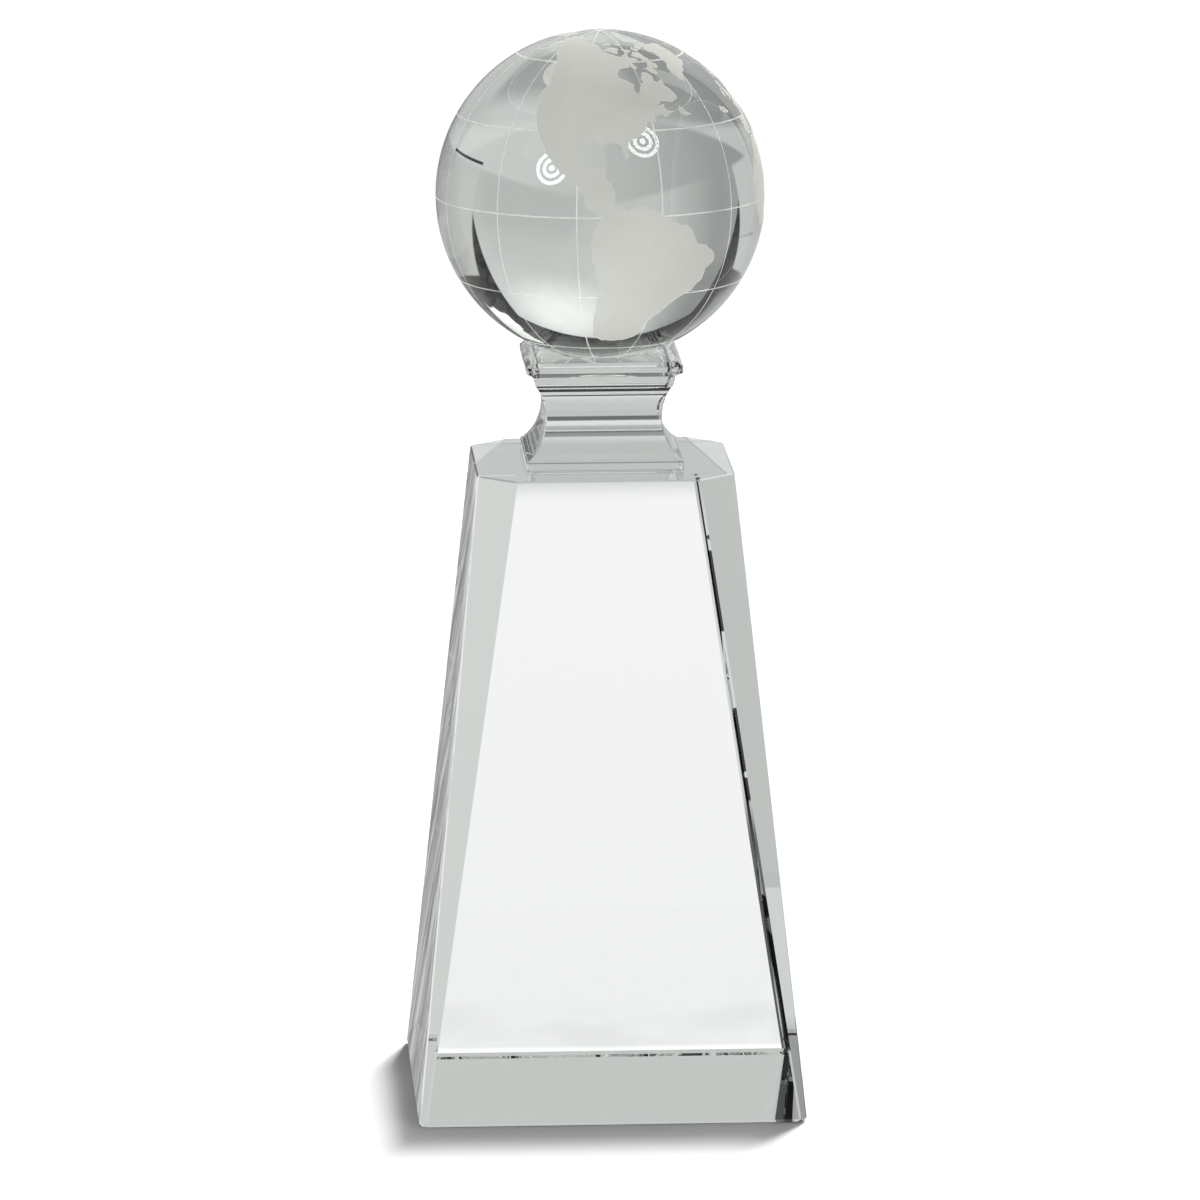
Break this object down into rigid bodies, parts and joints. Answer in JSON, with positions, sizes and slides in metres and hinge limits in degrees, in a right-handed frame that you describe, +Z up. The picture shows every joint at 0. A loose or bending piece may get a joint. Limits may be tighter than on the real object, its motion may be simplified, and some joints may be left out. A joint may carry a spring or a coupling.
{
  "type": "crystal award",
  "caption": "Free-standing clear crystal award: a tapered square tower with corner facets carries a waisted square neck and a globe with a frosted world map.",
  "frame": {"origin": "centre of the flat face that rests on the table", "axes": "+Z up through the tower, neck and globe; front towards -Y; +X to the right of a viewer in front"},
  "size_m": [0.094, 0.094, 0.2608],
  "materials": {
    "crystal": "polished clear optical glass with a faint grey-green body tint",
    "etched_crystal": "polished clear optical glass with a sandblasted, frosted world map and engraved lines of latitude and longitude",
    "clear_adhesive": "cured clear adhesive with the glass's own refraction, so the joint all but disappears"
  },
  "bodies": {
    "root": {"tower": "crystal", "neck": "crystal", "globe": "etched_crystal", "neck_bond": "clear_adhesive", "globe_bond": "clear_adhesive"}
  },
  "joints": []
}
